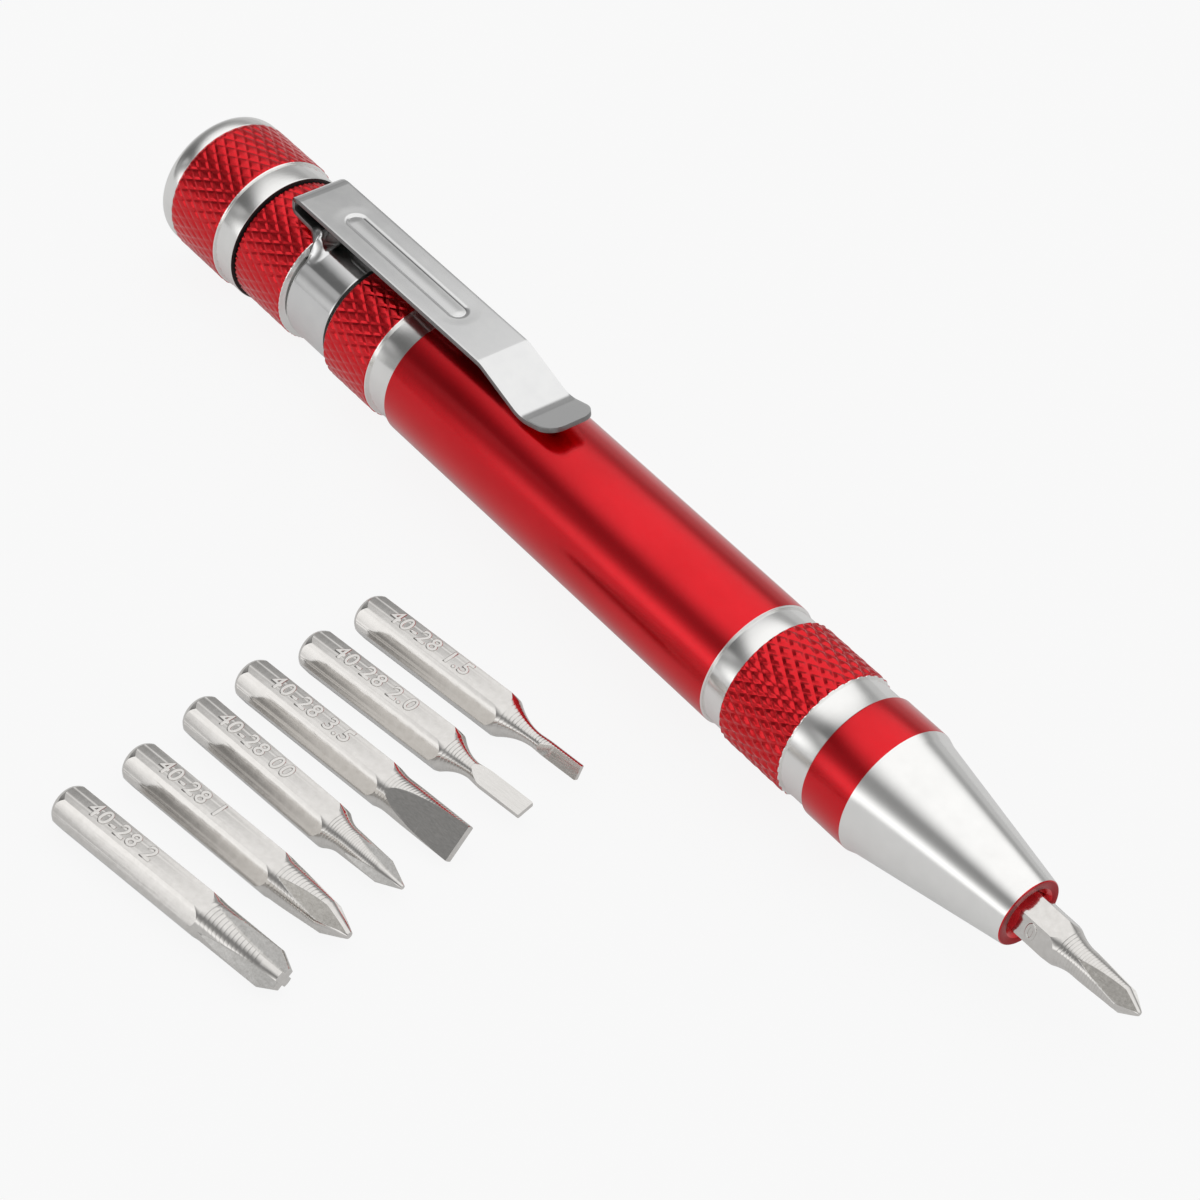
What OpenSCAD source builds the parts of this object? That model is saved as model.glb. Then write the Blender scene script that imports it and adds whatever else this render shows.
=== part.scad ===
// Pen-style pocket screwdriver: a knurled aluminium barrel that stores bits, a screw cap,
// a sprung pocket clip, a magnetic hex nose and seven driver bits.
// The pen lies along X with its nose toward +X, and six of the bits lie beside it.

/* [Barrel] */
// Diameter of the smooth barrel
barrel_d = 13.5; // [13.2:0.1:13.7]
// Length of the smooth barrel
barrel_len = 47.9; // [47:0.1:60]
// Diameter of the two rear knurled lands
rear_knurl_d = 13.8; // [13.6:0.1:14.2]
// Length of the knurled land behind the clip
knurl_a_len = 7.57; // [7:0.01:9]
// Length of the knurled land in front of the clip
knurl_b_len = 6.8; // [5:0.1:9]
// Diameter of the bright turned bands
band_d = 13; // [12.6:0.1:13.1]
// Length of the bright band in front of the rear knurls
rear_band_len = 3; // [2:0.1:4]
// Bore that stores three bits abreast
bore_d = 10.2; // [10:0.1:10.4]

/* [End cap] */
// Largest diameter of the cap
cap_d = 15; // [14.6:0.1:16]
// Length of the bright rear rim
cap_rim_len = 2.25; // [2:0.05:4]
// Length of the knurled land on the cap
cap_knurl_len = 7.3; // [5:0.1:9]
// Diameter of the bright band of the cap
cap_band_d = 14.4; // [13.8:0.1:14.5]
// Length of the bright band of the cap
cap_band_len = 2.7; // [2:0.1:4]
// Outside diameter of the thread on the cap
thread_d = 10.9; // [10.6:0.1:11]
// Length of the threaded spigot of the cap
spigot_len = 7.2; // [5:0.1:7.4]
// Length of the rubber seal in the mouth of the barrel
seal_len = 0.9; // [0.6:0.05:1.5]
// Diameter of the rubber seal
seal_d = 12.4; // [11.8:0.1:12.6]

/* [Nose] */
// Length of the bright band next to the barrel
nose_band_len = 2.6; // [2:0.1:4]
// Diameter of the front knurled land
front_knurl_d = 13.7; // [13.5:0.1:14.2]
// Length of the front knurled land
front_knurl_len = 8.2; // [6:0.1:10]
// Length of the bright band in front of the front knurl
front_band_len = 3.1; // [2:0.1:4]
// Length of the red ring behind the cone
ring_len = 5.1; // [4:0.1:7]
// Length of the bright cone
cone_len = 17.3; // [15:0.1:20]
// Diameter of the flat end of the nose
nose_end_d = 7.1; // [6.6:0.1:8]
// Length of the nose held inside the barrel
nose_plug_len = 8; // [6:0.1:9]
// Depth of the hex socket
socket_depth = 13.8; // [12:0.1:15]
// Diameter of the countersink at the mouth of the socket
mouth_d = 5.3; // [5:0.1:6]
// Diameter of the magnet behind the socket
magnet_d = 3.9; // [3:0.1:3.9]
// Length of the magnet
magnet_len = 3; // [2:0.5:5]

/* [Clip] */
// Sheet thickness of the clip
clip_t = 0.5; // [0.4:0.05:0.6]
// Width of the clip arm
clip_w = 6; // [5:0.1:7]
// Width of the collar that grips the barrel
collar_w = 6.1; // [5:0.1:7]
// Length of the tab from the collar to the fold
tab_len = 3.8; // [3.6:0.05:4.5]
// Middle radius of the rear fold
fold_r = 0.78; // [0.6:0.02:0.9]
// Slope of the tab from the fold to the collar
tab_slope = 4.6; // [2:0.1:8]
// Length of the straight arm
arm_len = 29.4; // [26:0.1:32]
// Length of the sloping stretch of the arm
slope_len = 6.5; // [5.5:0.1:8]
// Length of the turned-up lip
lip_len = 4.3; // [3:0.1:5]
// Rise of the lip
lip_rise = 1.3; // [0.8:0.1:2]
// Corner radius at the end of the lip
lip_corner_r = 1.9; // [1:0.1:2.3]
// Length of the pressed panel on the arm
panel_len = 18.4; // [12:0.1:20]
// Width of the pressed panel on the arm
panel_w = 2.3; // [1.5:0.1:3]

/* [Bits] */
// Across flats of the hex shanks
hex_af = 4; // [3.9:0.05:4.1]
// Length of each bit
bit_len = 27.5; // [27:0.5:29]
// Length of the bevel at the rear of each shank
bit_bevel = 1.2; // [0.6:0.1:1.5]
// Turn of the fitted bit in the socket
fitted_turn = 15; // [0:1:60]

/* [Cross tips] */
// Cross bit 0: lengths from the end of its turned part, neck, tip taper and flutes
cross_0_runs = [9, 6.8, 1.9, 6.9]; // [1:0.1:12]
// Cross bit 0: radii of its neck, tip, end and core
cross_0_radii = [1.47, 1.45, 0.25, 0.32]; // [0.2:0.01:2]
// Cross bit 0: turn of its wings about the shank
cross_0_turn = -20; // [-45:1:45]
// Cross bit 00: lengths from the end of its turned part, neck, tip taper and flutes
cross_00_runs = [10, 7.6, 2.5, 6.3]; // [1:0.1:12]
// Cross bit 00: radii of its neck, tip, end and core
cross_00_radii = [1.38, 1.2, 0.22, 0.25]; // [0.2:0.01:2]
// Cross bit 00: turn of its wings about the shank
cross_00_turn = 36; // [-45:1:45]
// Cross bit 1: lengths from the end of its turned part, neck, tip taper and flutes
cross_1_runs = [9.8, 8.8, 2.8, 8]; // [1:0.1:12]
// Cross bit 1: radii of its neck, tip, end and core
cross_1_radii = [1.93, 1.68, 0.36, 0.45]; // [0.2:0.01:2]
// Cross bit 1: turn of its wings about the shank
cross_1_turn = -11; // [-45:1:45]
// Cross bit 2: lengths from the end of its turned part, neck, tip taper and flutes
cross_2_runs = [10.1, 9.2, 1.7, 8.5]; // [1:0.1:12]
// Cross bit 2: radii of its neck, tip, end and core
cross_2_radii = [1.96, 1.93, 1.1, 0.65]; // [0.2:0.01:2]
// Cross bit 2: turn of its wings about the shank
cross_2_turn = 35; // [-45:1:45]

/* [Slotted tips] */
// Slotted bit 1.5: lengths from the end of its turned part, neck, full blade and flats
slotted_15_runs = [10.4, 5.4, 4.2, 4.7]; // [1:0.1:12]
// Slotted bit 1.5: radii of its neck and blade
slotted_15_radii = [0.74, 0.8]; // [0.5:0.01:2]
// Slotted bit 1.5: length of the flats' steep start
slotted_15_ease = 1.4; // [0.5:0.1:6]
// Slotted bit 1.5: thickness of the blade after the steep start and at its end
slotted_15_blade = [0.6, 0.45]; // [0.3:0.01:3]
// Slotted bit 1.5: turn of the blade about the shank
slotted_15_turn = 65; // [0:1:90]
// Slotted bit 2.0: lengths from the end of its turned part, neck, full blade and flats
slotted_20_runs = [10.6, 6.6, 5, 6.5]; // [1:0.1:12]
// Slotted bit 2.0: radii of its neck and blade
slotted_20_radii = [0.84, 1]; // [0.5:0.01:2]
// Slotted bit 2.0: length of the flats' steep start
slotted_20_ease = 1.3; // [0.5:0.1:6]
// Slotted bit 2.0: thickness of the blade after the steep start and at its end
slotted_20_blade = [0.62, 0.5]; // [0.3:0.01:3]
// Slotted bit 2.0: turn of the blade about the shank
slotted_20_turn = 10; // [0:1:90]
// Slotted bit 3.5: lengths from the end of its turned part, neck, full blade and flats
slotted_35_runs = [10, 8.8, 6, 8.1]; // [1:0.1:12]
// Slotted bit 3.5: radii of its neck and blade
slotted_35_radii = [1.87, 1.9]; // [0.5:0.01:2]
// Slotted bit 3.5: length of the flats' steep start
slotted_35_ease = 4; // [0.5:0.1:6]
// Slotted bit 3.5: thickness of the blade after the steep start and at its end
slotted_35_blade = [2.2, 0.8]; // [0.3:0.01:3]
// Slotted bit 3.5: turn of the blade about the shank
slotted_35_turn = 45; // [0:1:90]

/* [Loose bits] */
// Cross bit 2: rear end along the pen, distance from the pen's axis, turn on the table
cross_2_lies = [61.05, 58.9, 8.1]; // [0:0.05:90]
// Cross bit 1: rear end along the pen, distance from the pen's axis, turn on the table
cross_1_lies = [60.05, 50.8, 7.1]; // [0:0.05:90]
// Cross bit 00: rear end along the pen, distance from the pen's axis, turn on the table
cross_00_lies = [58.05, 42.9, 5.6]; // [0:0.05:90]
// Slotted bit 3.5: rear end along the pen, distance from the pen's axis, turn on the table
slotted_35_lies = [56.75, 36.3, 7]; // [0:0.05:90]
// Slotted bit 2.0: rear end along the pen, distance from the pen's axis, turn on the table
slotted_20_lies = [56.75, 29.2, 7.8]; // [0:0.05:90]
// Slotted bit 1.5: rear end along the pen, distance from the pen's axis, turn on the table
slotted_15_lies = [55.75, 22.1, 7.5]; // [0:0.05:90]

/* [Fits] */
// Radial clearance of the cap's thread and the clip's collar
run_gap = 0.05; // [0.02:0.01:0.1]
// Clearance on each flat of a bit in the socket
hex_gap = 0.03; // [0.02:0.01:0.06]
// Radial glue line of the nose and the magnet
glue_gap = 0.02; // [0.01:0.01:0.04]
// Axial gap between faces that turn or part
face_gap = 0.05; // [0.03:0.01:0.1]
// Gap between the cap and the barrel, which the seal closes
cap_gap = 0.2; // [0.1:0.05:0.4]
// Clearance under the clip's tab and under its valley
clip_gap = 0.12; // [0.08:0.01:0.3]

/* [Hidden] */
$fn = 64;
// Bevel on turned edges and on the ends of knurled lands
edge = 0.15;
// Overshoot of cutting shapes
past = 1;

// Radii of the turned pieces
barrel_r = barrel_d / 2;
knurl_r = rear_knurl_d / 2;
band_r = band_d / 2;
bore_r = bore_d / 2;
cap_r = cap_d / 2;
thread_r = thread_d / 2;
front_knurl_r = front_knurl_d / 2;
// Wall left between the bore and the clip's groove
groove_wall = 0.65;
groove_r = bore_r + groove_wall;

// Stations along the pen, from the rear face of the cap
cap_len = cap_rim_len + cap_knurl_len + cap_band_len;
x_seal = cap_len + face_gap;
x_seat = x_seal + seal_len + face_gap;
x_barrel = cap_len + cap_gap;
x_shoulder = x_barrel + knurl_a_len;
shoulder_len = 0.48;
x_groove = x_shoulder + shoulder_len;
x_land = x_groove + collar_w + 2 * face_gap;
land_len = 0.7;
x_knurl_b = x_land + land_len;
x_band = x_knurl_b + knurl_b_len;
x_smooth = x_band + rear_band_len;
x_nose = x_smooth + barrel_len;
x_front_knurl = x_nose + nose_band_len;
x_front_band = x_front_knurl + front_knurl_len;
x_ring = x_front_band + front_band_len;
x_cone = x_ring + ring_len;
x_face = x_cone + cone_len;
x_socket = x_face - socket_depth;
// Room between the end of the cap's spigot and the step in the bore
spigot_room = 0.4;
x_mouth_end = cap_len + spigot_len + spigot_room;

// Rounded rear rim of the cap
rim_depth = 1.45;
rim_round = 0.9;
// Rounded shoulder where the cone starts
cone_shoulder_len = 0.9;
cone_shoulder_drop = 0.3;

// Clip stations along the pen
x_collar = x_groove + face_gap;
x_fold = x_collar - tab_len;
x_bend = x_fold + arm_len;
x_valley = x_bend + slope_len;
x_lip = x_valley + lip_len;
// The ramp from the tab to the collar starts behind the collar
ramp_back = 0.25;
x_ramp = x_collar - ramp_back;
ramp_slope = 48;
ramp_drop = 2.2;
// Clip heights above the pen's axis, along the middle of the sheet
tab_z = knurl_r + clip_gap + clip_t / 2;
tab_run = x_ramp - x_fold + fold_r * sin(tab_slope);
fold_z = tab_z + fold_r * cos(tab_slope) + tab_run * tan(tab_slope);
arm_z = fold_z + fold_r;
valley_z = barrel_r + clip_gap + clip_t / 2;
lip_z = valley_z + lip_rise;
// Bend radii of the arm and gap of the collar under the barrel
bend_r = 3;
valley_r = 4;
collar_slot = 3;
// Cut through the fold, where the arm flexes
flex_gap = 0.04;
// Pressed panel on the arm: start behind the fold's end, and depth
panel_start = 4.8;
panel_depth = 0.1;

// Hex shanks
hex_corner_r = hex_af / 2 / cos(30);
shank_rear_r = 1.75;
// Run over which a shank's corners are turned down to its flats
flat_run = 0.9;
// Points on the curve from the shank to the neck
neck_steps = 6;

// The frame's origin is the middle of the box's floor
far_turn = cross_2_lies[2];
far_y = cross_2_lies[1] + hex_corner_r * cos(far_turn) - bit_bevel * sin(far_turn);
mid_x = (x_socket + bit_len) / 2;
mid_y = (cap_r - far_y) / 2;

// Moves the children from the pen's own axis to the frame
module at_pen() {
    translate([-mid_x, -mid_y, cap_r])
        children();
}

// Turns a half outline of [along, radius] points about the X axis
module turned(points) {
    rotate([0, 90, 0])
        rotate_extrude()
            polygon([for (p = points) [p[1], p[0]]]);
}

// Round rod along X
module rod(x, len, r) {
    translate([x, 0, 0])
        rotate([0, 90, 0])
            cylinder(h = len, r = r);
}

// Hex rod along X with flats above and below
module hex_rod(x, len, corner_r) {
    translate([x, 0, 0])
        rotate([0, 90, 0])
            rotate([0, 0, 30])
                cylinder(h = len, r = corner_r, $fn = 6);
}

// Bevelled land of a turned outline
function land(x0, x1, r) = [[x0, r - edge], [x0 + edge, r], [x1 - edge, r], [x1, r - edge]];

module barrel() {
    outside = concat(
        land(x_barrel, x_shoulder, knurl_r),
        [[x_groove, groove_r], [x_land, groove_r]],
        land(x_knurl_b, x_band, knurl_r),
        [[x_band, band_r], [x_smooth, band_r]],
        land(x_smooth, x_nose, barrel_r)
    );
    inside = [
        [x_nose, bore_r],
        [x_mouth_end, bore_r],
        [x_mouth_end, thread_r + run_gap],
        [x_seat, thread_r + run_gap],
        [x_seat, seal_d / 2 + run_gap],
        [x_barrel, seal_d / 2 + run_gap]
    ];
    color("firebrick")
        at_pen()
            turned(concat(outside, inside));
}

module end_cap() {
    rim = [for (a = [90:-15:0]) [rim_depth * (1 - sin(a)), cap_r - rim_round * (1 - cos(a))]];
    x_knurl_end = cap_rim_len + cap_knurl_len;
    front = [
        [x_knurl_end - edge, cap_r],
        [x_knurl_end, cap_r - edge],
        [x_knurl_end, cap_band_d / 2],
        [cap_len - edge, cap_band_d / 2],
        [cap_len, cap_band_d / 2 - edge],
        [cap_len, thread_r],
        [cap_len + spigot_len - edge, thread_r],
        [cap_len + spigot_len, thread_r - edge],
        [cap_len + spigot_len, 0]
    ];
    color("firebrick")
        at_pen()
            turned(concat([[0, 0]], rim, front));
}

module seal_ring() {
    color("black")
        at_pen()
            difference() {
                rod(x_seal, seal_len, seal_d / 2);
                rod(x_seal - past, seal_len + 2 * past, thread_r + run_gap);
            }
}

module nose() {
    outline = concat(
        [[x_nose - nose_plug_len, 0], [x_nose - nose_plug_len, bore_r - glue_gap]],
        [[x_nose, bore_r - glue_gap], [x_nose, band_r], [x_front_knurl, band_r]],
        land(x_front_knurl, x_front_band, front_knurl_r),
        [[x_front_band, band_r], [x_ring, band_r], [x_ring, barrel_r - edge], [x_ring + edge, barrel_r]],
        [[x_cone, barrel_r], [x_cone + cone_shoulder_len, barrel_r - cone_shoulder_drop]],
        [[x_face, nose_end_d / 2], [x_face, 0]]
    );
    color("silver")
        at_pen()
            difference() {
                turned(outline);
                rotate([fitted_turn, 0, 0])
                    hex_rod(x_socket, socket_depth + past, hex_corner_r + hex_gap / cos(30));
                rod(x_socket - magnet_len, magnet_len + past, magnet_d / 2 + glue_gap);
                turned([[x_face - mouth_d / 2, 0], [x_face + past, mouth_d / 2 + past], [x_face + past, 0]]);
            }
}

module socket_magnet() {
    color("dimgray")
        at_pen()
            rod(x_socket - magnet_len, magnet_len - face_gap, magnet_d / 2);
}

function unit(v) = v / norm(v);

// Points of the arc that rounds the corner p between a and b
function corner_arc(a, p, b, r, steps = 6) =
    let (
        u = unit(a - p),
        v = unit(b - p),
        half = acos(u * v) / 2,
        c = p + unit(u + v) * r / sin(half),
        s = p + u * r / tan(half) - c,
        e = p + v * r / tan(half) - c,
        from = atan2(s[1], s[0]),
        turn = (atan2(e[1], e[0]) - from + 540) % 360 - 180
    )
    [for (i = [0:steps]) c + r * [cos(from + turn * i / steps), sin(from + turn * i / steps)]];

// Points of a quarter of the rear fold, from angle a to angle b
function fold_arc(a, b, steps = 8) =
    [for (i = [0:steps])
        [x_fold, fold_z] + fold_r * [cos(a + (b - a) * i / steps), sin(a + (b - a) * i / steps)]];

// One side of a bent sheet, at distance d to the left of its middle line
function sheet_side(path, d) =
    [for (i = [0:len(path) - 1])
        let (
            u = unit(path[max(i, 1)] - path[max(i, 1) - 1]),
            v = unit(path[min(i, len(path) - 2) + 1] - path[min(i, len(path) - 2)]),
            m = unit(u + v)
        )
        path[i] + d / (m * u) * [-m[1], m[0]]];

// Bent sheet: its middle line lies in the X-Z plane and its width along Y
module sheet(path, width) {
    left = sheet_side(path, clip_t / 2);
    right = sheet_side(path, -clip_t / 2);
    rotate([90, 0, 0])
        linear_extrude(height = width, center = true)
            polygon(concat(left, [for (i = [len(right) - 1:-1:0]) right[i]]));
}

module clip_collar() {
    collar_in = groove_r + run_gap;
    ramp_foot = [x_ramp + ramp_drop / tan(ramp_slope), tab_z - ramp_drop];
    tab_path = concat([ramp_foot, [x_ramp, tab_z]], fold_arc(270 - tab_slope, 180));
    color("lightgray")
        at_pen()
            difference() {
                union() {
                    rod(x_collar, collar_w, collar_in + clip_t);
                    sheet(tab_path, clip_w);
                }
                rod(x_collar - past, collar_w + 2 * past, collar_in);
                translate([x_collar - past, -collar_slot / 2, -2 * collar_in])
                    cube([collar_w + 2 * past, collar_slot, 2 * collar_in]);
                translate([x_fold - 2 * fold_r, -clip_w, fold_z - flex_gap])
                    cube([2 * fold_r, 2 * clip_w, fold_r]);
            }
}

// Plan of the arm, with round corners at the lip
module arm_plan() {
    x_rear = x_fold - fold_r - clip_t;
    translate([x_rear, -clip_w / 2])
        square([x_lip - lip_corner_r - x_rear, clip_w]);
    translate([x_lip - lip_corner_r - edge, lip_corner_r - clip_w / 2])
        square([lip_corner_r + edge, clip_w - 2 * lip_corner_r]);
    for (side = [-1, 1])
        translate([x_lip - lip_corner_r, side * (clip_w / 2 - lip_corner_r)])
            circle(r = lip_corner_r);
}

// Pressed panel with two round ends, on the arm's top
module panel() {
    r = panel_w / 2;
    x_first = x_fold + panel_start + r;
    x_last = x_first + panel_len - panel_w;
    translate([x_first, -r])
        square([x_last - x_first, panel_w]);
    for (x = [x_first, x_last])
        translate([x, 0])
            circle(r = r);
}

module clip_arm() {
    bend = [x_bend, arm_z];
    valley = [x_valley, valley_z];
    lip = [x_lip, lip_z];
    arm_path = concat(
        fold_arc(180, 90),
        corner_arc([x_fold, arm_z], bend, valley, bend_r),
        corner_arc(bend, valley, lip, valley_r),
        [lip + edge * unit(lip - valley)]
    );
    color("lightgray")
        at_pen()
            difference() {
                intersection() {
                    sheet(arm_path, clip_w + 2 * edge);
                    linear_extrude(height = 2 * arm_z)
                        arm_plan();
                }
                translate([0, 0, arm_z + clip_t / 2 - panel_depth])
                    linear_extrude(height = past)
                        panel();
            }
}

// Turned blank of a bit: the hex shank runs along a curve into the neck, and the neck into the tip
module bit_blank(turned_len, neck_len, neck_r, tip) {
    x_turn = bit_len - turned_len;
    flat_r = hex_af / 2;
    neck = [for (i = [1:neck_steps])
        let (u = i / neck_steps)
        [x_turn + (turned_len - neck_len) * u, neck_r + (flat_r - neck_r) * pow(1 - u, 2)]];
    outline = concat(
        [[0, 0], [0, shank_rear_r], [bit_bevel, hex_corner_r]],
        [[x_turn - flat_run, hex_corner_r], [x_turn, flat_r]],
        neck,
        tip,
        [[bit_len, 0]]
    );
    intersection() {
        hex_rod(0, bit_len, hex_corner_r);
        turned(outline);
    }
}

// Grinding wheel with a square V rim, which stands on the X-Z plane
module wheel(r) {
    rotate([90, 0, 0])
        rotate_extrude()
            polygon([[0, -r], [r, 0], [0, r]]);
}

// Cross tip: a wheel sinks four V flutes from the neck's surface to the core at the end
module cross_bit(runs, radii, tip_turn) {
    flute_len = runs[3];
    neck_r = radii[0];
    core_r = radii[3];
    sink = neck_r - core_r;
    wheel_r = (pow(flute_len, 2) + pow(sink, 2)) / (2 * sink);
    difference() {
        bit_blank(runs[0], runs[1], neck_r, [[bit_len - runs[2], radii[1]], [bit_len, radii[2]]]);
        for (quarter = [0:3])
            rotate([tip_turn + 45 + 90 * quarter, 0, 0])
                translate([bit_len, 0, core_r + wheel_r])
                    wheel(wheel_r);
    }
}

// Slotted tip: two flats fall from the neck's surface, steeply at first, to the blade's thickness
module slotted_bit(runs, radii, ease, blade_t, tip_turn) {
    x_flat = bit_len - runs[3];
    blade_r = radii[1];
    blade = [[bit_len - runs[2], blade_r], [bit_len - edge, blade_r], [bit_len, blade_r - edge / 2]];
    ground = [
        [x_flat, radii[0]],
        [x_flat + ease, blade_t[0] / 2],
        [bit_len + edge, blade_t[1] / 2],
        [bit_len + edge, hex_af],
        [x_flat, hex_af]
    ];
    difference() {
        bit_blank(runs[0], runs[1], radii[0], blade);
        for (side = [0, 180])
            rotate([tip_turn + side, 0, 0])
                rotate([90, 0, 0])
                    linear_extrude(height = 2 * hex_af, center = true)
                        polygon(ground);
    }
}

// Lays a bit on the table beside the pen
module lying(place) {
    translate([place[0] - mid_x, -place[1] - mid_y, hex_af / 2])
        rotate([0, 0, place[2]])
            children();
}

module cross_bit_0() {
    color("silver")
        at_pen()
            translate([x_socket, 0, 0])
                rotate([fitted_turn, 0, 0])
                    cross_bit(cross_0_runs, cross_0_radii, cross_0_turn);
}

module cross_bit_00() {
    color("silver")
        lying(cross_00_lies)
            cross_bit(cross_00_runs, cross_00_radii, cross_00_turn);
}

module cross_bit_1() {
    color("silver")
        lying(cross_1_lies)
            cross_bit(cross_1_runs, cross_1_radii, cross_1_turn);
}

module cross_bit_2() {
    color("silver")
        lying(cross_2_lies)
            cross_bit(cross_2_runs, cross_2_radii, cross_2_turn);
}

module slotted_bit_15() {
    color("silver")
        lying(slotted_15_lies)
            slotted_bit(slotted_15_runs, slotted_15_radii, slotted_15_ease, slotted_15_blade, slotted_15_turn);
}

module slotted_bit_20() {
    color("silver")
        lying(slotted_20_lies)
            slotted_bit(slotted_20_runs, slotted_20_radii, slotted_20_ease, slotted_20_blade, slotted_20_turn);
}

module slotted_bit_35() {
    color("silver")
        lying(slotted_35_lies)
            slotted_bit(slotted_35_runs, slotted_35_radii, slotted_35_ease, slotted_35_blade, slotted_35_turn);
}

barrel();
end_cap();
seal_ring();
nose();
socket_magnet();
clip_collar();
clip_arm();
cross_bit_0();
cross_bit_00();
cross_bit_1();
cross_bit_2();
slotted_bit_15();
slotted_bit_20();
slotted_bit_35();
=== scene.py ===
import math

import bmesh
import bpy
from mathutils import Matrix, Vector


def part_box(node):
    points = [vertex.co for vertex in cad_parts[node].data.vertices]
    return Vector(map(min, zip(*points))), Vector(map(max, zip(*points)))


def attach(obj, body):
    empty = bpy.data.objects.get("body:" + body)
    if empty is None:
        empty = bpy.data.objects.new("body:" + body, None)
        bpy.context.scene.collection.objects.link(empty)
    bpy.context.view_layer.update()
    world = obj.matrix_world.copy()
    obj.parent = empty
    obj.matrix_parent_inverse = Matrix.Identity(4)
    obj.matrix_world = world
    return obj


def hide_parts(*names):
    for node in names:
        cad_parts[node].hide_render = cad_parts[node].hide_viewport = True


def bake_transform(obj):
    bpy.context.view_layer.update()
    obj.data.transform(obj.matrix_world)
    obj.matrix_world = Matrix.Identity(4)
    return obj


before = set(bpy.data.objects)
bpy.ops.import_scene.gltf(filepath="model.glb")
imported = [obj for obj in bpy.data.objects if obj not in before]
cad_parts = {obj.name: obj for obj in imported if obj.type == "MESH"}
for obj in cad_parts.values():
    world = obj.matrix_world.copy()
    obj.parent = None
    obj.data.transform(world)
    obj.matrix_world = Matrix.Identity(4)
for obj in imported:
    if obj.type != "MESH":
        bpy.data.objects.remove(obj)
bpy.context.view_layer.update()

# Shapes are written in millimetres and made in metres
MM = 0.001

# The pen's own frame: X runs from the rear face of the cap to the nose, along the pen's axis
cap_low, cap_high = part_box("end_cap")
PEN = Vector((cap_low.x, (cap_low.y + cap_high.y) / 2, (cap_low.z + cap_high.z) / 2))


def along(x):
    """A place along the pen, in millimetres from the rear face of the cap."""
    return (x - PEN.x) / MM


# Stations along the pen
X_SEAL = along(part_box("seal_ring")[0].x)
X_SEAL_END = along(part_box("seal_ring")[1].x)
X_BARREL = along(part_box("barrel")[0].x)
X_NOSE = along(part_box("barrel")[1].x)
X_PLUG = along(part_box("nose")[0].x)
X_FACE = along(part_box("nose")[1].x)
X_SPIGOT_END = along(cap_high.x)
X_SOCKET = along(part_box("cross_bit_0")[0].x)

# Lengths and radii of the turned pieces
CAP_RIM, CAP_KNURL, CAP_LEN, RIM_DEPTH = 2.25, 7.3, 12.25, 1.45
CAP_R, CAP_BAND_R = 7.5, 7.2
THREAD_R, MOUTH_R, BORE_R = 5.45, 5.5, 5.1
SEAL_R, SEAL_ROUND, SEAT_R, SEAT_GAP = 6.2, 0.12, 6.25, 0.05
KNURL_A, SHOULDER, GROOVE, LAND, KNURL_B, BAND = 7.57, 0.48, 6.2, 0.7, 6.8, 3.0
KNURL_R, GROOVE_R, BAND_R, BARREL_R = 6.9, 5.75, 6.5, 6.75
NOSE_BAND, FRONT_KNURL, FRONT_BAND, RED_RING = 2.6, 8.2, 3.1, 5.1
FRONT_KNURL_R, NOSE_END_R = 6.85, 3.55
CONE_SHOULDER, CONE_DROP = 0.9, 0.3
HEX_FLAT, HEX_GAP = 2.0, 0.03
FITTED_TURN = math.radians(15)
# The cap's rear face and the round of its rim
CAP_FACE_R, RIM_DROP, RIM_ROUND, RIM_STEPS = 0.4, 0.05, 0.85, 12
# The cap's spigot: depth and length of its undercut, depth of its thread, chamfer of its end
UNDERCUT, UNDERCUT_LEN, SPIGOT_THREAD, SPIGOT_CHAMFER = 0.3, 0.6, 0.5, 0.35
# Depth of the thread in the barrel's mouth, and the room left behind the spigot
MOUTH_THREAD, MOUTH_SPARE = 0.25, 0.4
# The nose's plug in the barrel
PLUG_GAP, PLUG_CHAMFER, PLUG_FACE_R = 0.02, 0.3, 0.5
# The round mouth of the hex socket, and the seat of the magnet behind it
SOCKET_MOUTH_R, SOCKET_MOUTH, MAGNET_R, MAGNET_DEPTH = 2.65, 0.55, 1.97, 3
# Chamfers at the ends of the red and the bright parts
CHAMFER, FINE_CHAMFER = 0.1, 0.05

# Sides of the turned pieces
SIDES = 192
# Small radius on turned edges, and the steps across it
EDGE, EDGE_STEPS = 0.07, 3
# Edges that bend by more degrees than this are shaded sharp, on the bits and on the other pieces
BIT_SHARP, SHARP = 14, 40


def smoothstep(t):
    t = max(0.0, min(1.0, t))
    return t * t * (3 - 2 * t)


def round_point(x, radius, a):
    """A point round an axis along X, at an angle from the top toward -Y."""
    return x, -radius * math.sin(a), radius * math.cos(a)


def bridge(bm, a, b):
    """Joins two loops of the same length side by side, and gives the new faces."""
    faces = []
    for i in range(len(a)):
        k = (i + 1) % len(a)
        faces.append(bm.faces.new((a[i], a[k], b[k], b[i])))
    return faces


def mesh_from(name, bm):
    """A mesh from a bmesh, which is then freed."""
    bmesh.ops.recalc_face_normals(bm, faces=bm.faces)
    mesh = bpy.data.meshes.new(name)
    bm.to_mesh(mesh)
    bm.free()
    return mesh


def add_object(name, data):
    obj = bpy.data.objects.new(name, data)
    bpy.context.scene.collection.objects.link(obj)
    return obj


def shade(mesh, sharp):
    """Smooth shading, with sharp edges where the surface bends by more than an angle in degrees."""
    mesh.shade_smooth()
    mesh.set_sharp_from_angle(angle=math.radians(sharp))


def new_object(name, bm, materials):
    """A finished object from a bmesh in millimetres."""
    mesh = mesh_from(name, bm)
    mesh.transform(Matrix.Scale(MM, 4))
    for material in materials:
        mesh.materials.append(material)
    shade(mesh, SHARP)
    return add_object(name, mesh)


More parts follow.
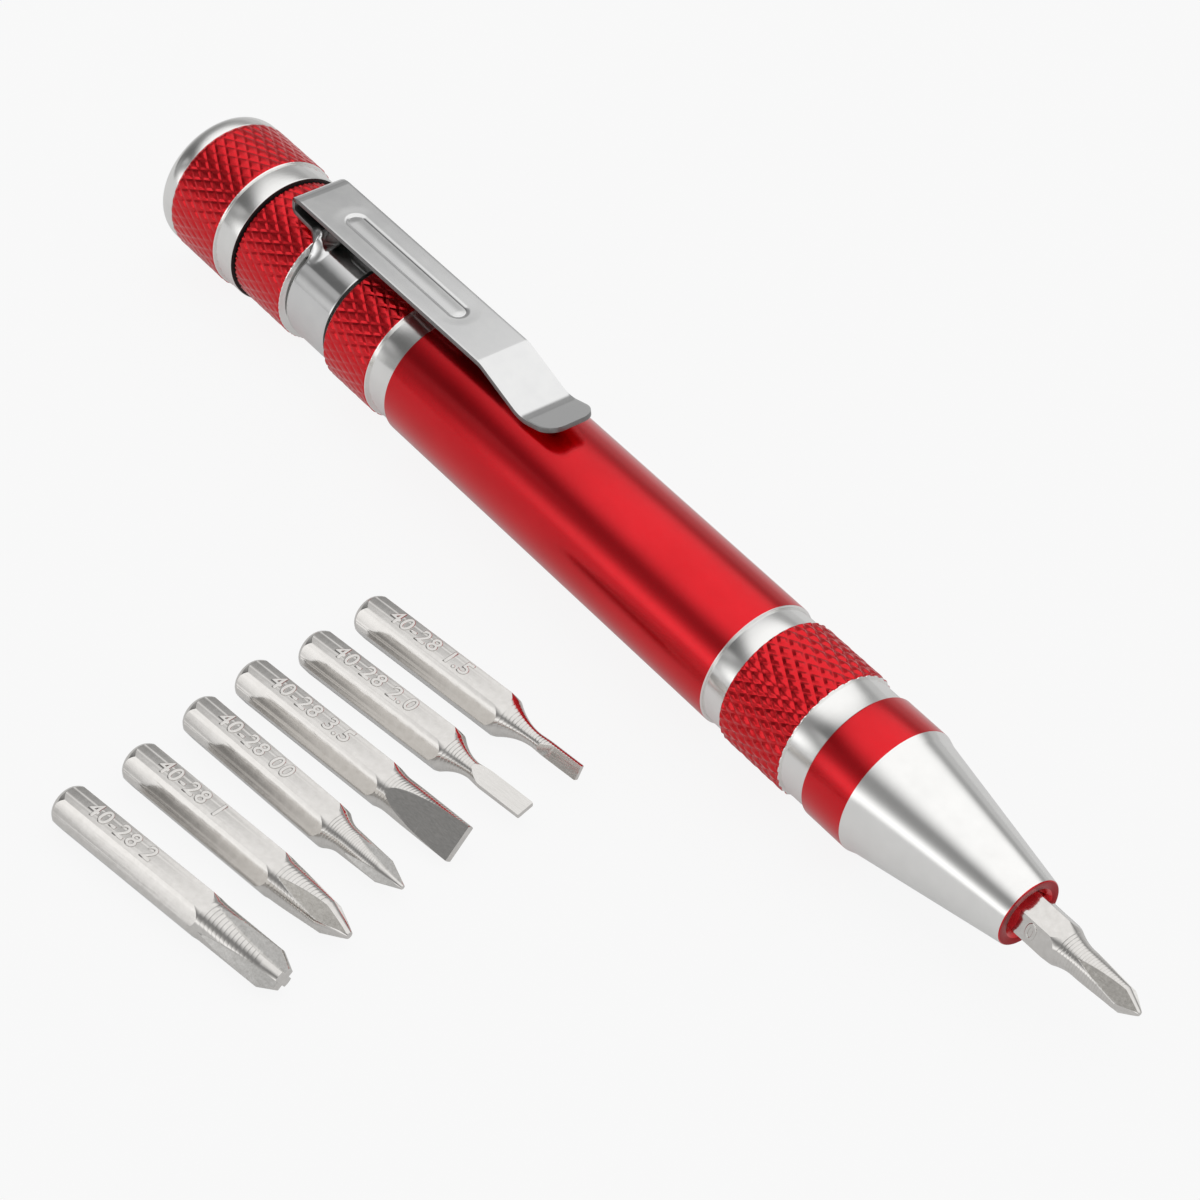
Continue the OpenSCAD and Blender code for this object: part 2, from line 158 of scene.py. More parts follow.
def evaluated_mesh(obj):
    graph = bpy.context.evaluated_depsgraph_get()
    return bpy.data.meshes.new_from_object(obj.evaluated_get(graph))


def apply_modifiers(obj, sharp=SHARP):
    """Turns an object's modifiers into its mesh."""
    mesh = evaluated_mesh(obj)
    obj.modifiers.clear()
    obj.data = mesh
    shade(mesh, sharp)


# Materials

# The middle of a noise, where most of its values lie
NOISE_LOW, NOISE_HIGH = 0.3, 0.7
LINES_LOW, LINES_HIGH = 0.25, 0.75


class Nodes:
    """A material or world under construction, with short calls for its nodes."""

    def __init__(self, owner):
        owner.use_nodes = True
        self.owner = owner
        self.tree = owner.node_tree
        self.tree.nodes.clear()

    def add(self, kind, inputs=(), **settings):
        node = self.tree.nodes.new(kind)
        for key, value in settings.items():
            setattr(node, key, value)
        for key, value in dict(inputs).items():
            if isinstance(value, bpy.types.NodeSocket):
                self.tree.links.new(value, node.inputs[key])
            else:
                node.inputs[key].default_value = value
        return node

    def math(self, operation, a, b=0.0):
        return self.add("ShaderNodeMath", {0: a, 1: b}, operation=operation).outputs[0]

    def product(self, value, *others):
        for other in others:
            value = self.math("MULTIPLY", value, other)
        return value

    def spread(self, value, low, high, to_low=0.0, to_high=1.0, kind="LINEAR"):
        """Maps a value from one range to another, with both ends held."""
        inputs = {"Value": value, "From Min": low, "From Max": high, "To Min": to_low, "To Max": to_high}
        return self.add("ShaderNodeMapRange", inputs, interpolation_type=kind).outputs["Result"]

    def smooth(self, *values):
        """Like spread, with soft ends."""
        return self.spread(*values, kind="SMOOTHSTEP")

    def even(self, noise, to_low=0.0, to_high=1.0):
        """Spreads the middle of a noise over a range."""
        return self.spread(noise, NOISE_LOW, NOISE_HIGH, to_low, to_high)

    def noise(self, x, y, z, detail=3.0, rough=0.55):
        """Noise on the object, with its scale along each axis counted per millimetre."""
        coords = self.add("ShaderNodeTexCoord").outputs["Object"]
        scale = (x / MM, y / MM, z / MM)
        vector = self.add("ShaderNodeMapping", {"Vector": coords, "Scale": scale}).outputs["Vector"]
        inputs = {"Vector": vector, "Scale": 1.0, "Detail": detail, "Roughness": rough}
        return self.add("ShaderNodeTexNoise", inputs).outputs["Fac"]

    def mix(self, factor, a, b):
        """Mixes two colours."""
        return self.add("ShaderNodeMix", {"Factor": factor, 6: a, 7: b}, data_type="RGBA").outputs[2]

    def bump(self, height, distance):
        inputs = {"Height": height, "Distance": distance * MM, "Strength": 1.0}
        return self.add("ShaderNodeBump", inputs).outputs["Normal"]

    def finish(self, shader, output="ShaderNodeOutputMaterial"):
        """Ends the material or world with its surface, and gives it back."""
        self.add(output, {"Surface": shader.outputs[0]})
        return self.owner

    def principled(self, inputs):
        return self.finish(self.add("ShaderNodeBsdfPrincipled", inputs))


def new_material(name):
    return Nodes(bpy.data.materials.new(name))


def red_anodised():
    """Red dyed oxide on fine-turned aluminium: a coloured metal under a clear skin."""
    n = new_material("red_anodised")
    lines = n.noise(18, 0.05, 0.05, detail=4)
    cloud = n.noise(0.12, 0.25, 0.25)
    return n.principled({
        "Base Color": n.mix(n.even(cloud), (0.69, 0.007, 0.014, 1), (0.77, 0.010, 0.019, 1)),
        "Metallic": 1.0,
        "Roughness": n.spread(lines, LINES_LOW, LINES_HIGH, 0.20, 0.27),
        "Normal": n.bump(lines, 0.004),
        "Coat Weight": 0.4,
        "Coat Roughness": 0.12,
    })


def red_face_painted_shade():
    """End face of the nose, cut across the bar; its red is darker than the sides' as painted shade."""
    n = new_material("red_face_painted_shade")
    grain = n.noise(4, 4, 4)
    return n.principled({
        "Base Color": n.mix(grain, (0.34, 0.003, 0.008, 1), (0.42, 0.005, 0.011, 1)),
        "Metallic": 1.0,
        "Roughness": 0.3,
        "Normal": n.bump(grain, 0.004),
    })


def bright_turned():
    """Bare aluminium with the fine rings left by turning."""
    n = new_material("bright_turned")
    lines = n.noise(22, 0.04, 0.04, detail=5, rough=0.7)
    cloud = n.noise(0.4, 0.4, 0.4)
    return n.principled({
        "Base Color": n.mix(n.even(cloud), (0.88, 0.875, 0.86, 1), (0.93, 0.925, 0.91, 1)),
        "Metallic": 1.0,
        "Roughness": n.spread(lines, LINES_LOW, LINES_HIGH, 0.13, 0.19),
        "Normal": n.bump(lines, 0.002),
    })


def clip_chrome():
    """Chromed spring strip with faint lengthwise rolling marks and a slight haze."""
    n = new_material("clip_chrome")
    grain = n.noise(0.3, 9, 9, detail=4)
    haze = n.noise(0.5, 0.5, 0.5)
    return n.principled({
        "Base Color": n.mix(n.even(haze), (0.76, 0.76, 0.76, 1), (0.80, 0.80, 0.795, 1)),
        "Metallic": 1.0,
        "Roughness": n.even(haze, 0.07, 0.14),
        "Normal": n.bump(grain, 0.0006),
    })


def bit_nickel():
    """Nickel plate over drawn steel, slightly mottled."""
    n = new_material("bit_nickel")
    grain = n.noise(0.6, 7, 7, detail=4)
    mottle = n.noise(1.6, 1.6, 1.6, detail=5)
    return n.principled({
        "Base Color": n.mix(n.even(mottle), (0.67, 0.65, 0.625, 1), (0.75, 0.73, 0.705, 1)),
        "Metallic": 1.0,
        "Roughness": n.even(mottle, 0.09, 0.15),
        "Normal": n.bump(n.math("ADD", grain, mottle), 0.0022),
    })


def worked_steel(name, noise, dark, light, finest, roughest, depth):
    """Steel whose colour, roughness and marks all follow one noise."""
    n = new_material(name)
    grain = n.noise(*noise)
    return n.principled({
        "Base Color": n.mix(n.even(grain), dark, light),
        "Metallic": 1.0,
        "Roughness": n.even(grain, finest, roughest),
        "Normal": n.bump(grain, depth),
    })


# Black rubber for the seal, also used as painted shade on the cap's front face
def black_rubber():
    n = new_material("black_rubber")
    grain = n.noise(6, 6, 6)
    return n.principled({
        "Base Color": n.mix(grain, (0.008, 0.008, 0.008, 1), (0.02, 0.02, 0.02, 1)),
        "Roughness": 0.6,
        "Normal": n.bump(grain, 0.01),
    })


def magnet_nickel():
    n = new_material("magnet_nickel")
    grain = n.noise(3, 3, 3)
    return n.principled({
        "Base Color": n.mix(grain, (0.45, 0.44, 0.43, 1), (0.55, 0.54, 0.53, 1)),
        "Metallic": 1.0,
        "Roughness": 0.25,
    })


RED = red_anodised()
# Darker red for the nose's end face: painted shade
RED_END_PAINTED_SHADE = red_face_painted_shade()
BRIGHT = bright_turned()
CHROME = clip_chrome()
# The clip's sheared edges, and painted shade: the same dark steel under the arm, inside the fold and on
# the tab, where the arm shades them
DARK_STEEL_AND_SHADE = worked_steel(
    "dark_steel_and_painted_shade", (2, 9, 9, 4), (0.20, 0.20, 0.20, 1), (0.30, 0.30, 0.295, 1), 0.30, 0.42, 0.004,
)
NICKEL = bit_nickel()
# Plated flutes of the cross tips, left rough by the wheel
FLUTE = worked_steel(
    "flute_steel", (3, 3, 3, 4, 0.6), (0.66, 0.645, 0.62, 1), (0.84, 0.825, 0.80, 1), 0.09, 0.18, 0.004,
)
# Flats ground on the slotted tips, with fine lengthwise marks
GROUND = worked_steel(
    "ground_steel", (0.8, 12, 12, 4), (0.66, 0.645, 0.62, 1), (0.76, 0.74, 0.715, 1), 0.12, 0.20, 0.002,
)
RUBBER_AND_SHADE = black_rubber()
MAGNET = magnet_nickel()

# Material places on the turned pieces: red, bright, painted shade in black rubber, and the nose's end
# face in painted shade
RED_FACE, BRIGHT_FACE, PAINTED_SHADE_FACE, END_FACE_PAINTED_SHADE = range(4)
TURNED_MATERIALS = (RED, BRIGHT, RUBBER_AND_SHADE, RED_END_PAINTED_SHADE)


# Turned pieces


def soften(points):
    """Rounds the inner corners of an outline of (x, r, material) points."""
    out = [points[0]]
    for before, at, after in zip(points, points[1:], points[2:]):
        p = Vector(at[:2])
        a, b = Vector(before[:2]) - p, Vector(after[:2]) - p
        size = min(EDGE, a.length * 0.4, b.length * 0.4)
        start, end = p + a.normalized() * size, p + b.normalized() * size
        for i in range(EDGE_STEPS + 1):
            t = i / EDGE_STEPS
            q = start * (1 - t) ** 2 + p * 2 * t * (1 - t) + end * t * t
            out.append((q.x, q.y, at[2] if t < 1 else after[2]))
    out.append(points[-1])
    return out


class Turned:
    """A turned piece, built loop by loop along its outline."""

    def __init__(self):
        self.bm = bmesh.new()
        self.first = self.loop = None

    def ring(self, x, radius, material):
        """Adds a loop at x; radius is a number or a function of the angle."""
        verts = []
        for i in range(SIDES):
            a = 2 * math.pi * i / SIDES
            r = radius(a) if callable(radius) else radius
            verts.append(self.bm.verts.new(round_point(x, r, a)))
        self.join(verts, material)

    def join(self, verts, material):
        """Joins the last loop to a new one, side by side or like a zip."""
        last, self.loop = self.loop, verts
        if last is None:
            self.first = verts
            return
        if len(last) == len(verts):
            for face in bridge(self.bm, last, verts):
                face.material_index = material
            return
        i = j = 0
        while i < len(last) or j < len(verts):
            next_a = self.turn(last, i + 1)
            next_b = self.turn(verts, j + 1)
            a, b = last[i % len(last)], verts[j % len(verts)]
            if j >= len(verts) or (i < len(last) and next_a <= next_b):
                self.face((a, last[(i + 1) % len(last)], b), material)
                i += 1
            else:
                self.face((a, verts[(j + 1) % len(verts)], b), material)
                j += 1

    @staticmethod
    def angle(vert):
        return math.atan2(-vert.co.y, vert.co.z) % (2 * math.pi)

    def turn(self, loop, i):
        """The angle of a loop's vertex, counted on past a full turn."""
        return self.angle(loop[i % len(loop)]) + 2 * math.pi * (i // len(loop))

    def face(self, verts, material):
        self.bm.faces.new(verts).material_index = material

    def outline(self, points):
        for x, r, material in soften(points):
            self.ring(x, r, material)

    def close(self, material):
        """Closes the last loop with a fan to the axis."""
        middle = self.bm.verts.new((self.loop[0].co.x, 0, 0))
        for i, vert in enumerate(self.loop):
            self.face((vert, self.loop[(i + 1) % len(self.loop)], middle), material)

    def start(self, x, radius, material):
        """Begins the piece with a closed end face."""
        self.ring(x, radius, material)
        self.close(material)

    def wrap(self, material):
        """Joins the last loop to the first one."""
        self.join(self.first, material)

    def finish(self, name, body, nodes):
        obj = new_object(name, self.bm, TURNED_MATERIALS)
        obj.location = PEN
        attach(obj, body)
        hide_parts(*nodes)


# Diamond knurl: two families of wide shallow grooves cross between two bevelled ends
KNURL_PITCH = 2.13
KNURL_BEVEL, END_BEVEL = 0.16, 0.12
# The outer edge of the front bevel is bare over this run
KNURL_BARE = 0.07
# Grooves of each family round the cap and round the other pieces
CAP_STARTS, PEN_STARTS = 40, 36
# Stations across half a groove and half a land: share of the groove's pitch, depth in mm
FINE_GROOVE = ((0.02, 0.085), (0.20, 0.01), (0.27, 0.0), (0.5, 0.0))
COARSE_GROOVE = ((0.04, 0.19), (0.26, 0.03), (0.36, 0.008), (0.5, 0.0))


def groove_depth(u, section):
    """Depth at a place across one family of grooves."""
    d = abs(u - round(u))
    for (d0, h0), (d1, h1) in zip(section, section[1:]):
        if d <= d1:
            return h0 + (h1 - h0) * max(0.0, d - d0) / (d1 - d0)
    return 0.0


def knurl(piece, x0, x1, radius, starts, section, bevel=KNURL_BEVEL):
    """Adds a knurled land to a turned piece, between x0 and x1."""
    lines = [d for d, depth in section] + [1 - d for d, depth in section[-2::-1]]
    per_turn = starts * len(lines)
    middle = (x0 + x1) / 2
    bm = bmesh.new()
    made = {}

    def at(k):
        return k // len(lines) + lines[k % len(lines)]

    def vert(k, m):
        key = (k % per_turn, m - per_turn * (k // per_turn))
        if key not in made:
            u, v = at(key[0]), at(key[1])
            x = middle + (u - v) / 2 * KNURL_PITCH
            made[key] = bm.verts.new(round_point(x, radius, math.pi * (u + v) / starts))
        return made[key]

    reach = math.ceil(((x1 - x0) / KNURL_PITCH + 1) * len(lines))
    for k in range(per_turn):
        for m in range(k - reach, k + reach):
            bm.faces.new((vert(k, m), vert(k + 1, m), vert(k + 1, m + 1), vert(k, m + 1)))
    cuts = (
        (x0, {"clear_inner": True}),
        (x1, {"clear_outer": True}),
        (x0 + bevel, {}),
        (x1 - bevel, {}),
        (x1 - KNURL_BARE, {}),
    )
    for x, options in cuts:
        geometry = bm.verts[:] + bm.edges[:] + bm.faces[:]
        bmesh.ops.bisect_plane(bm, geom=geometry, plane_co=(x, 0, 0), plane_no=(1, 0, 0), **options)
    for v in bm.verts:
        a = math.atan2(-v.co.y, v.co.z)
        share = starts * a / (2 * math.pi)
        shift = (v.co.x - middle) / KNURL_PITCH
        depth = max(groove_depth(share + shift, section), groove_depth(share - shift, section))
        end = max(0.0, bevel - min(v.co.x - x0, x1 - v.co.x))
        v.co = round_point(v.co.x, radius - max(depth, end), a)
    copies = {v: piece.bm.verts.new(v.co) for v in bm.verts}
    ends = []
    for x in (x0, x1):
        rim = [copies[v] for v in bm.verts if abs(v.co.x - x) < 1e-3 and v.is_boundary]
        ends.append(sorted(rim, key=Turned.angle))
    piece.join(ends[0], RED_FACE)
    for f in bm.faces:
        bare = f.calc_center_median().x > x1 - KNURL_BARE
        piece.face([copies[v] for v in f.verts], BRIGHT_FACE if bare else RED_FACE)
    piece.loop = ends[1]
    bm.free()


# Screw thread between the cap and the barrel: its pitch, loops per turn and the slope of its flanks
THREAD_PITCH, THREAD_STEPS = 1.0, 8
FLANK_SLOPE, FLANK_START = 3.2, 0.3


def thread(piece, x0, x1, crest, root, material):
    """Adds a right-hand thread that fades in at one end and out at the other."""
    count = max(2, round(abs(x1 - x0) / THREAD_PITCH * THREAD_STEPS))
    for i in range(count + 1):
        x = x0 + (x1 - x0) * i / count
        fade = min(1.0, abs(x - x0) / THREAD_PITCH, abs(x1 - x) / THREAD_PITCH)

        def radius(a, x=x, fade=fade):
            phase = (x / THREAD_PITCH - a / (2 * math.pi)) % 1.0
            flank = max(0.0, min(1.0, FLANK_SLOPE * abs(phase - 0.5) - FLANK_START))
            return crest + (root - crest) * fade * flank

        piece.ring(x, radius, material)


def hexagon(flat, turn):
    """Radius of a hexagon as a function of the angle, with a flat at the turn."""

    def radius(a):
        part = (a - turn + math.pi / 6) % (math.pi / 3) - math.pi / 6
        return flat / math.cos(part)

    return radius


def end_cap():
    piece = Turned()
    rim_r = CAP_R - RIM_DROP
    x_band = CAP_RIM + CAP_KNURL
    undercut_r = THREAD_R - UNDERCUT
    piece.start(0, CAP_FACE_R, BRIGHT_FACE)
    for i in range(RIM_STEPS + 1):
        a = math.radians(90 - 90 / RIM_STEPS * i)
        piece.ring(RIM_DEPTH * (1 - math.sin(a)), rim_r - RIM_ROUND * (1 - math.cos(a)), BRIGHT_FACE)
    piece.outline([
        (RIM_DEPTH + CHAMFER, rim_r, BRIGHT_FACE),
        (CAP_RIM - FINE_CHAMFER, rim_r, BRIGHT_FACE),
        (CAP_RIM, CAP_R - KNURL_BEVEL, BRIGHT_FACE),
    ])
    knurl(piece, CAP_RIM, x_band, CAP_R, CAP_STARTS, FINE_GROOVE)
    piece.outline([
        (x_band, CAP_BAND_R - 0.03, BRIGHT_FACE),
        (x_band + FINE_CHAMFER, CAP_BAND_R, BRIGHT_FACE),
        (CAP_LEN - FINE_CHAMFER, CAP_BAND_R, BRIGHT_FACE),
        (CAP_LEN, CAP_BAND_R - FINE_CHAMFER, BRIGHT_FACE),
        # Painted shade: the cap's front face, which faces the barrel, takes the black rubber so that the
        # gap there reads dark
        (CAP_LEN, undercut_r, PAINTED_SHADE_FACE),
        (CAP_LEN + UNDERCUT_LEN, undercut_r, BRIGHT_FACE),
    ])
    thread(piece, CAP_LEN + 0.7, X_SPIGOT_END - 0.4, THREAD_R, THREAD_R - SPIGOT_THREAD, BRIGHT_FACE)
    piece.outline([
        (X_SPIGOT_END - SPIGOT_CHAMFER, THREAD_R, BRIGHT_FACE),
        (X_SPIGOT_END, THREAD_R - SPIGOT_CHAMFER, BRIGHT_FACE),
        (X_SPIGOT_END, 0.5, BRIGHT_FACE),
    ])
    piece.close(BRIGHT_FACE)
    piece.finish("end_cap_turned", "cap", ["end_cap"])


def barrel():
    piece = Turned()
    x_shoulder = X_BARREL + KNURL_A
    x_groove = x_shoulder + SHOULDER
    x_land = x_groove + GROOVE
    x_knurl = x_land + LAND
    x_band = x_knurl + KNURL_B
    x_smooth = x_band + BAND
    x_seat = X_SEAL_END + SEAT_GAP
    x_store = X_SPIGOT_END + MOUTH_SPARE
    root_r = MOUTH_R + MOUTH_THREAD
    piece.ring(X_BARREL, SEAT_R, RED_FACE)
    piece.ring(X_BARREL, KNURL_R - END_BEVEL - 0.02, RED_FACE)
    knurl(piece, X_BARREL, x_shoulder, KNURL_R, PEN_STARTS, FINE_GROOVE, END_BEVEL)
    piece.outline([
        (x_shoulder, KNURL_R - END_BEVEL - 0.01, BRIGHT_FACE),
        (x_groove, GROOVE_R, BRIGHT_FACE),
        (x_land, GROOVE_R, BRIGHT_FACE),
        (x_knurl, KNURL_R - KNURL_BEVEL - 0.01, BRIGHT_FACE),
    ])
    knurl(piece, x_knurl, x_band, KNURL_R, PEN_STARTS, FINE_GROOVE)
    piece.outline([
        (x_band, BAND_R, BRIGHT_FACE),
        (x_smooth, BAND_R, BRIGHT_FACE),
        (x_smooth, BARREL_R - CHAMFER, RED_FACE),
        (x_smooth + CHAMFER, BARREL_R, RED_FACE),
        (X_NOSE - CHAMFER, BARREL_R, RED_FACE),
        (X_NOSE, BARREL_R - CHAMFER, BRIGHT_FACE),
        (X_NOSE, BORE_R, BRIGHT_FACE),
        (x_store, BORE_R, RED_FACE),
        (x_store, root_r, RED_FACE),
    ])
    thread(piece, X_SPIGOT_END + 0.3, x_seat + 0.1, root_r, MOUTH_R, BRIGHT_FACE)
    piece.ring(x_seat, root_r, BRIGHT_FACE)
    piece.ring(x_seat, SEAT_R, BRIGHT_FACE)
    piece.wrap(BRIGHT_FACE)
    piece.finish("barrel_turned", "pen", ["barrel"])


def nose():
    piece = Turned()
    x_knurl = X_NOSE + NOSE_BAND
    x_band = x_knurl + FRONT_KNURL
    x_ring = x_band + FRONT_BAND
    x_cone = x_ring + RED_RING
    plug_r = BORE_R - PLUG_GAP
    piece.start(X_PLUG, PLUG_FACE_R, BRIGHT_FACE)
    piece.outline([
        (X_PLUG, plug_r - PLUG_CHAMFER, BRIGHT_FACE),
        (X_PLUG + PLUG_CHAMFER, plug_r, BRIGHT_FACE),
        (X_NOSE, plug_r, BRIGHT_FACE),
        (X_NOSE, BAND_R, BRIGHT_FACE),
        (x_knurl, BAND_R, BRIGHT_FACE),
    ])
    knurl(piece, x_knurl, x_band, FRONT_KNURL_R, PEN_STARTS, COARSE_GROOVE)
    piece.outline([
        (x_band, BAND_R, BRIGHT_FACE),
        (x_ring, BAND_R, BRIGHT_FACE),
        (x_ring, BARREL_R - CHAMFER, RED_FACE),
        (x_ring + CHAMFER, BARREL_R, RED_FACE),
        (x_cone, BARREL_R, RED_FACE),
        (x_cone + CONE_SHOULDER, BARREL_R - CONE_DROP, BRIGHT_FACE),
        (X_FACE - CHAMFER, NOSE_END_R + 0.02, BRIGHT_FACE),
        (X_FACE, NOSE_END_R - 0.08, RED_FACE),
    ])
    socket = hexagon(HEX_FLAT + HEX_GAP, FITTED_TURN)
    # Painted shade: the nose's end face takes the darker red
    piece.ring(X_FACE, SOCKET_MOUTH_R + 0.06, END_FACE_PAINTED_SHADE)
    piece.ring(X_FACE - FINE_CHAMFER, SOCKET_MOUTH_R, RED_FACE)
    piece.ring(X_FACE - SOCKET_MOUTH, socket, RED_FACE)
    piece.ring(X_SOCKET, socket, RED_FACE)
    piece.ring(X_SOCKET, MAGNET_R, RED_FACE)
    piece.ring(X_SOCKET - MAGNET_DEPTH, MAGNET_R, RED_FACE)
    piece.close(RED_FACE)
    piece.finish("nose_turned", "pen", ["nose"])


def seal():
    piece = Turned()
    section = (
        (X_SEAL, MOUTH_R),
        (X_SEAL, SEAL_R - SEAL_ROUND),
        (X_SEAL + SEAL_ROUND, SEAL_R),
        (X_SEAL_END - SEAL_ROUND, SEAL_R),
        (X_SEAL_END, SEAL_R - SEAL_ROUND),
        (X_SEAL_END, MOUTH_R),
    )
    for x, r in section:
        piece.ring(x, r, 0)
    piece.wrap(0)
    obj = new_object("seal_ring_rubber", piece.bm, (RUBBER_AND_SHADE,))
    obj.location = PEN
    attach(obj, "seal")
    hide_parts("seal_ring")


end_cap()
barrel()
nose()
seal()
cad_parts["socket_magnet"].data.materials.clear()
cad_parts["socket_magnet"].data.materials.append(MAGNET)


# Clip: one bent sheet, with a collar round the barrel's groove, a folded tab and a sprung arm

CLIP_T, CLIP_W, COLLAR_W, COLLAR_SLOT = 0.5, 6.0, 6.1, 3.0
COLLAR_R = GROOVE_R + 0.05 + CLIP_T / 2
TAB_LEN, FOLD_R, ARM_LEN, SLOPE_LEN, LIP_LEN, LIP_RISE = 3.8, 0.78, 29.4, 6.5, 4.3, 1.3
BEND_R, VALLEY_R, LIP_CORNER = 3.0, 4.0, 1.9
TAB_SLOPE, RAMP_BACK = math.radians(4.6), 0.25
# The tab rises out of the collar between these distances from the collar's rear edge
RISE_START, RISE_END = 1.2, -0.6
# The tab's sides flare into the collar, which holds them down over a short run
TAB_FILLET, FLARE_RUN, HOLD_RUN = 0.9, 1.3, 0.35
# The arm bends slowly into the fold, and the fold's corners are round
FOLD_LONG, CORNER_RUN, CORNER_CUT = 1.45, 0.75, 0.3
PANEL_START, PANEL_LEN, PANEL_W = 4.8, 18.4, 2.3
PANEL_WALL, PANEL_DEPTH, PANEL_CROWN = 0.24, 0.15, 0.03
PANEL_DISH, PANEL_DISH_RUN = 0.01, 1.3
CLIP_GAP = 0.12
# Columns across the arm, with a wide one at each edge, and on each side of the collar
ARM_COLS, EDGE_SHARE, SIDE_COLS = 60, 0.91, 36
# Rows along the collar and its flare, and points round the fold, the bends and the lip's corners
COLLAR_ROWS, FLARE_ROWS = 30, 16
FOLD_STEPS, BEND_STEPS, LIP_STEPS = 18, 14, 24
# Longest steps along the fold and along the arm
FOLD_STEP, ARM_STEP = 0.3, 0.1
# Rounding of the sheared edges
SHEAR_ROUND, SHEAR_STEPS, SHEAR_ANGLE = 0.16, 4, math.radians(60)
# A face under the arm, in the fold or on the tab gets the painted shade when it leans that way by this
# share
LEAN = 0.2


def arc_corner(a, p, b, radius):
    """Points of the arc that rounds the corner p between a and b."""
    u, v = (a - p).normalized(), (b - p).normalized()
    half = u.angle(v) / 2
    middle = p + (u + v).normalized() * radius / math.sin(half)
    first = p + u * radius / math.tan(half) - middle
    last = p + v * radius / math.tan(half) - middle
    turn = first.angle_signed(last)
    out = []
    for i in range(BEND_STEPS + 1):
        a = -turn * i / BEND_STEPS
        out.append(middle + Vector((
            first.x * math.cos(a) - first.y * math.sin(a),
            first.x * math.sin(a) + first.y * math.cos(a),
        )))
    return out


def even_steps(points, step):
    """Fills long stretches of a path with points no further apart than a step."""
    out = [points[0]]
    for a, b in zip(points, points[1:]):
        count = max(1, math.ceil((b - a).length / step))
        out += [a.lerp(b, i / count) for i in range(1, count + 1)]
    return out


def panel_depth(x, y, x_first, x_last):
    """Depth of the pressed panel, with a slight crown on its floor and a shallow dish round it."""
    run = Vector((max(x_first - x, 0, x - x_last), y)).length
    inside = PANEL_W / 2 - run
    crown = PANEL_CROWN * smoothstep((inside - PANEL_WALL) / (PANEL_W / 2 - PANEL_WALL))
    dish = PANEL_DISH * smoothstep(1 + inside / PANEL_DISH_RUN)
    return PANEL_DEPTH * smoothstep(inside / PANEL_WALL) + dish - crown


